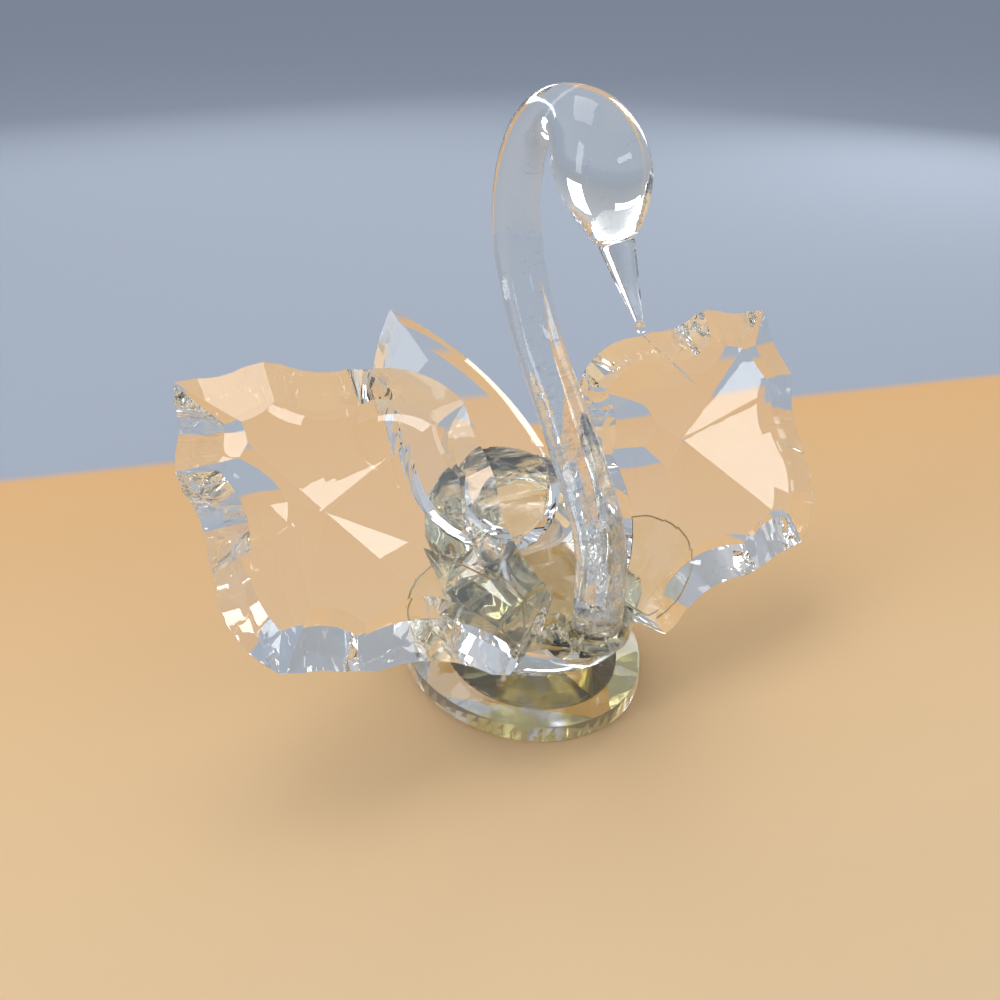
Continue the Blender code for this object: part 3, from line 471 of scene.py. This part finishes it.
def spreadGlue(side, spec):
    own = spec[side]
    frameNow = leafFrame(own)
    low = -spec["leafBack"] - spec["thickness"]
    bm = bmesh.new()
    base = bm.faces.new([bm.verts.new((u / 1000, v / 1000, low)) for u, v in own["outlineMm"]])
    grown = bmesh.ops.extrude_face_region(bm, geom=[base])
    bmesh.ops.translate(bm, verts=[g for g in grown["geom"] if isinstance(g, bmesh.types.BMVert)],
                        vec=(0, 0, spec["thickness"] + spec["overlap"]))
    upright = [e for e in bm.edges if abs(e.verts[0].co.z - e.verts[1].co.z) > spec["thickness"] / 2]
    bmesh.ops.bevel(bm, geom=upright, offset=0.0016, affect="EDGES", segments=5, profile=0.5, material=-1, clamp_overlap=True)
    bmesh.ops.recalc_face_normals(bm, faces=bm.faces)
    bm.normal_update()
    sheets = [f for f in bm.faces if abs(f.normal.z) > 0.9]
    for f in bm.faces:
        f.material_index = 1
    for sheet in sheets:
        bmesh.ops.inset_region(bm, faces=[sheet], thickness=spec["bead"], use_even_offset=True)
        sheet.material_index = 0
    rim = [frameNow @ v.co for v in bm.verts]
    bmesh.ops.transform(bm, matrix=frameNow, verts=bm.verts)
    piece = addPiece(side + "_wing_glue_spread", bm, [clearFilm, filmRim])
    piece.data.set_sharp_from_angle(angle=math.radians(30))
    return [(point, 0.003) for point in rim], (frameNow.to_3x3() @ Vector((0, 0, 1)))


for side in ("right", "left"):
    films[side + "_spread"] = spreadGlue(side, spreads)

# A chipped blob of glue and glass between the right wing's stem end and the prow

blob = {"leafMm": (-1.0, -3.5, -2.5), "sizeMm": (2.6, 3.4, 2.2), "unevenMm": 0.5}


def addBlob(spec, frameNow):
    rng = random.Random(11)
    bm = bmesh.new()
    bmesh.ops.create_icosphere(bm, subdivisions=2, radius=0.001)
    bmesh.ops.scale(bm, vec=spec["sizeMm"], verts=bm.verts)
    for v in bm.verts:
        v.co += v.normal * rng.uniform(-spec["unevenMm"], spec["unevenMm"]) / 1000
    bmesh.ops.transform(bm, matrix=frameNow @ Matrix.Translation([mm / 1000 for mm in spec["leafMm"]]), verts=bm.verts)
    chip = addPiece("chipped_glue_blob", bm, [clearFilm])
    chip.data.shade_flat()


addBlob(blob, leafFrame(spreads["right"]))

# Trapped bubbles: a line of them along the edge of each glue film but the foot's

bubbles = {"radiusMm": (0.06, 0.20), "share": 0.14, "seed": 7}


def addBubbles(spec):
    rng = random.Random(spec["seed"])
    bm = bmesh.new()
    for name, (points, broad) in films.items():
        if name == "foot_adhesive":
            continue
        for point, length in points:
            if rng.random() < spec["share"] * min(1.0, length / 0.003):
                size = rng.uniform(*spec["radiusMm"]) / 1000
                spot = point + Vector([rng.gauss(0, 0.0003) for _ in range(3)]).cross(broad)
                made = bmesh.ops.create_icosphere(bm, subdivisions=1, radius=size, matrix=Matrix.Translation(spot))
    addPiece("glue_bubbles", bm, [seedGlass])


addBubbles(bubbles)
print("glue pieces made")

# Floor and light

stage = {
    "floorFront": "#edd0a6", "floorBack": "#e3b580", "floorFar": "#a8b0bd", "edgeAngle": 71.1, "frontFrom": -0.16,
    "edgeFrom": 0.132, "seenThroughGlass": 0.75, "edgeTo": 0.140, "floorZ": -0.0003,
    "worldLow": "#a9b0ba", "worldMiddle": "#bcc3cc", "worldHigh": "#d3d8e0", "worldStrength": 0.85,
}


def floorMaterial(spec):  # pale warm floor in front, cool backdrop behind a soft straight edge
    mat = newMaterial("matt paper floor")
    place = addNode(mat, "ShaderNodeTexCoord")
    turn = math.radians(spec["edgeAngle"])
    reach = addNode(mat, "ShaderNodeVectorMath", {"operation": "DOT_PRODUCT"}, {1: (math.cos(turn), math.sin(turn), 0)},
                    {0: place.outputs["Object"]})
    fade = addNode(mat, "ShaderNodeMapRange", {}, {"From Min": spec["frontFrom"], "From Max": spec["edgeFrom"]},
                   {"Value": reach.outputs["Value"]})
    warm = addNode(mat, "ShaderNodeMix", {"data_type": "RGBA"},
                   {"A": hexToLinear(spec["floorFront"]), "B": hexToLinear(spec["floorBack"])}, {"Factor": fade.outputs["Result"]})
    blend = addNode(mat, "ShaderNodeMapRange", {"interpolation_type": "SMOOTHSTEP"},
                    {"From Min": spec["edgeFrom"], "From Max": spec["edgeTo"]},
                    {"Value": reach.outputs["Value"]})
    colour = addNode(mat, "ShaderNodeMix", {"data_type": "RGBA"},
                     {"B": hexToLinear(spec["floorFar"])}, {"Factor": blend.outputs["Result"], "A": warm.outputs["Result"]})
    paper = addNode(mat, "ShaderNodeBsdfDiffuse", links={"Color": colour.outputs["Result"]})
    plain = addNode(mat, "ShaderNodeEmission", links={"Color": colour.outputs["Result"]})
    ray = addNode(mat, "ShaderNodeLightPath")  # glass shows the paper itself, and the floor keeps the shadow
    through = addNode(mat, "ShaderNodeMath", {"operation": "MAXIMUM"},
                      links={0: ray.outputs["Is Transmission Ray"], 1: ray.outputs["Is Glossy Ray"]})
    share = addNode(mat, "ShaderNodeMath", {"operation": "MULTIPLY"}, {1: spec["seenThroughGlass"]},
                    {0: through.outputs["Value"]})
    mix = addNode(mat, "ShaderNodeMixShader", links={0: share.outputs["Value"], 1: paper.outputs["BSDF"],
                                                     2: plain.outputs["Emission"]})
    return finishMaterial(mat, mix.outputs["Shader"])


def makeFloor(spec):
    bm = bmesh.new()
    bmesh.ops.create_circle(bm, cap_ends=True, radius=3.0, segments=96, matrix=Matrix.Translation((0, 0, spec["floorZ"])))
    mesh = bpy.data.meshes.new("floor")
    bm.to_mesh(mesh)
    bm.free()
    mesh.materials.append(floorMaterial(spec))
    floor = bpy.data.objects.new("floor", mesh)
    scene.collection.objects.link(floor)


def makeWorld(spec):
    world = bpy.data.worlds.new("studio")
    world.use_nodes = True
    world.node_tree.nodes.clear()
    scene.world = world
    place = addNode(world, "ShaderNodeTexCoord")
    split = addNode(world, "ShaderNodeSeparateXYZ", links={"Vector": place.outputs["Generated"]})
    ramp = addNode(world, "ShaderNodeValToRGB", links={"Fac": split.outputs["Z"]})
    ramp.color_ramp.elements[0].color = hexToLinear(spec["worldLow"])
    ramp.color_ramp.elements[1].color = hexToLinear(spec["worldHigh"])
    ramp.color_ramp.elements[1].position = 0.85
    ramp.color_ramp.elements.new(0.35).color = hexToLinear(spec["worldMiddle"])
    sky = addNode(world, "ShaderNodeBackground", inputs={"Strength": spec["worldStrength"]}, links={"Color": ramp.outputs["Color"]})
    addNode(world, "ShaderNodeOutputWorld", links={"Surface": sky.outputs["Background"]})


def addLamp(name, place, aim, width, height, power):
    data = bpy.data.lights.new(name, "AREA")
    data.shape = "RECTANGLE"
    data.size, data.size_y = width, height
    data.energy = power
    lamp = bpy.data.objects.new(name, data)
    scene.collection.objects.link(lamp)
    lamp.location = place
    lamp.rotation_euler = (Vector(aim) - Vector(place)).to_track_quat("-Z", "Y").to_euler()
    return lamp


makeFloor(stage)
makeWorld(stage)
addLamp("overhead softbox", (-0.10, 0.25, 0.85), (0, 0, 0.05), 0.60, 0.45, 1.9)
addLamp("left window", (-0.80, 0.05, 0.40), (0, 0, 0.06), 0.20, 0.60, 1.5)
addLamp("right window", (0.70, 0.35, 0.36), (0, 0, 0.07), 0.22, 0.40, 1.2)
addLamp("front strip", (0.25, -0.75, 0.62), (0, 0, 0.06), 0.60, 0.10, 0.9)
addLamp("back strip", (0.10, 0.85, 0.34), (0, 0, 0.08), 0.70, 0.08, 1.0)

scene.view_settings.view_transform = "Standard"
scene.cycles.max_bounces = 32
scene.cycles.transmission_bounces = 32
scene.cycles.glossy_bounces = 16
scene.cycles.transparent_max_bounces = 32
print("floor and light made")
